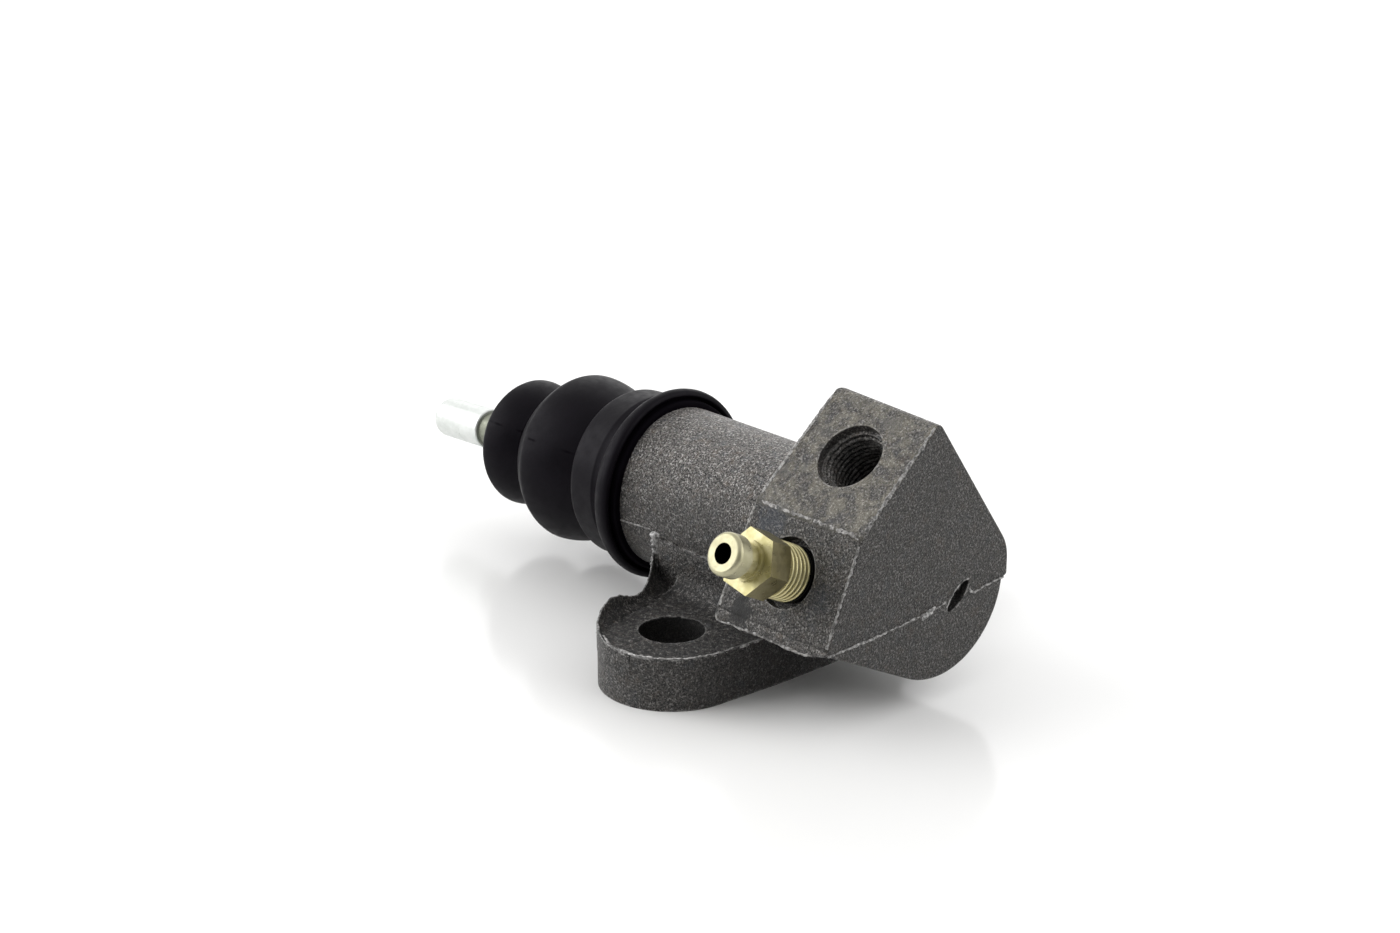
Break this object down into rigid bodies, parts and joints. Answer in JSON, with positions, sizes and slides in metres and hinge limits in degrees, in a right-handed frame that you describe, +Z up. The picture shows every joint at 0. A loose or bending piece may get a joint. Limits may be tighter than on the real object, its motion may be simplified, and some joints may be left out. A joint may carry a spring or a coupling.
{
  "type": "clutch slave cylinder",
  "caption": "Cast-iron hydraulic clutch slave cylinder with two bolt ears, slanted inlet port, bleeder screw, sprung piston, push rod and rubber bellows boot.",
  "frame": {"origin": "on the mounting face, midway between the two bolt holes", "axes": "+X along the bore towards the closed head, +Y along the line of the bolt holes, +Z up out of the mounting face"},
  "size_m": [0.1359, 0.0818, 0.0505],
  "materials": {
    "cast_iron": "sand-cast, grainy, lightly oiled",
    "yellow_zinc": "yellow zinc plated",
    "bright_zinc": "bright zinc plated",
    "piston_alloy": "turned",
    "spring_steel": "bright drawn",
    "seal_rubber": "smooth",
    "boot_rubber": "satin moulded"
  },
  "bodies": {
    "housing": {"cylinder_body": "cast_iron", "retaining_ring": "spring_steel", "return_spring": "spring_steel", "dust_boot": "boot_rubber"},
    "piston": {"piston": "piston_alloy", "primary_cup": "seal_rubber", "secondary_seal": "seal_rubber", "cup_spreader": "spring_steel"},
    "push_rod": {"push_rod": "bright_zinc"},
    "bleeder": {"bleeder_screw": "yellow_zinc"}
  },
  "joints": [
    {"name": "piston_slide", "type": "slide", "parent": "housing", "child": "piston", "axis": [1, 0, 0], "range_m": [0, 0.018], "stiffness_N_per_m": 800, "springref_m": -0.015, "deforming": ["return_spring", "dust_boot"]},
    {"name": "rod_rock", "type": "hinge", "parent": "piston", "child": "push_rod", "pos_m": [-0.0242, 0, 0.0205], "axis": [0, 1, 0], "range_deg": [-2, 6], "deforming": ["dust_boot"]},
    {"name": "bleeder_turn", "type": "hinge", "parent": "housing", "child": "bleeder", "pos_m": [0.0233, -0.02359, 0.02581], "axis": [0, -0.8918, 0.4524], "range_deg": [0, 360]}
  ]
}
